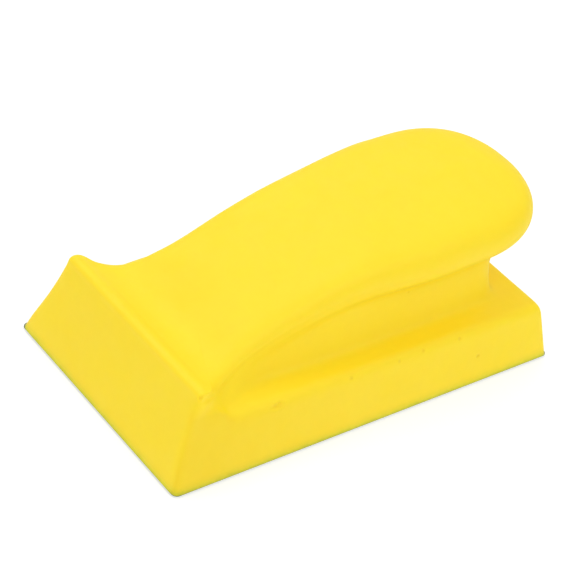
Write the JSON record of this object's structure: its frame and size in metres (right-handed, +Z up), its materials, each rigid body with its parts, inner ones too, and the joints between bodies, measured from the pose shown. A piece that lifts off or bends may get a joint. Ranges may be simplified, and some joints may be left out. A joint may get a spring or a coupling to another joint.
{
  "type": "hand sanding block",
  "caption": "Hand sanding block: one-piece foam base, ridged nose and rounded palm handle, with a hook-fastener sheet on the sole.",
  "frame": {"origin": "centre of the sole, on the plane of the hook tips", "axes": "+Z up out of the sole, +Y along the block towards the rounded rear end of the handle, +X across the block"},
  "size_m": [0.0702, 0.1274, 0.0465],
  "materials": {
    "foam": "matte moulded polyurethane foam skin, bright yellow",
    "adhesive": "thin translucent pressure-sensitive adhesive film",
    "hook_backing": "moulded nylon sheet that carries the hooks, dark olive green",
    "hooks": "stiff nylon hooks, dark olive green"
  },
  "bodies": {
    "root": {"foam_body": "foam", "adhesive_film": "adhesive", "hook_backing": "hook_backing", "hook_pile": "hooks"}
  },
  "joints": []
}
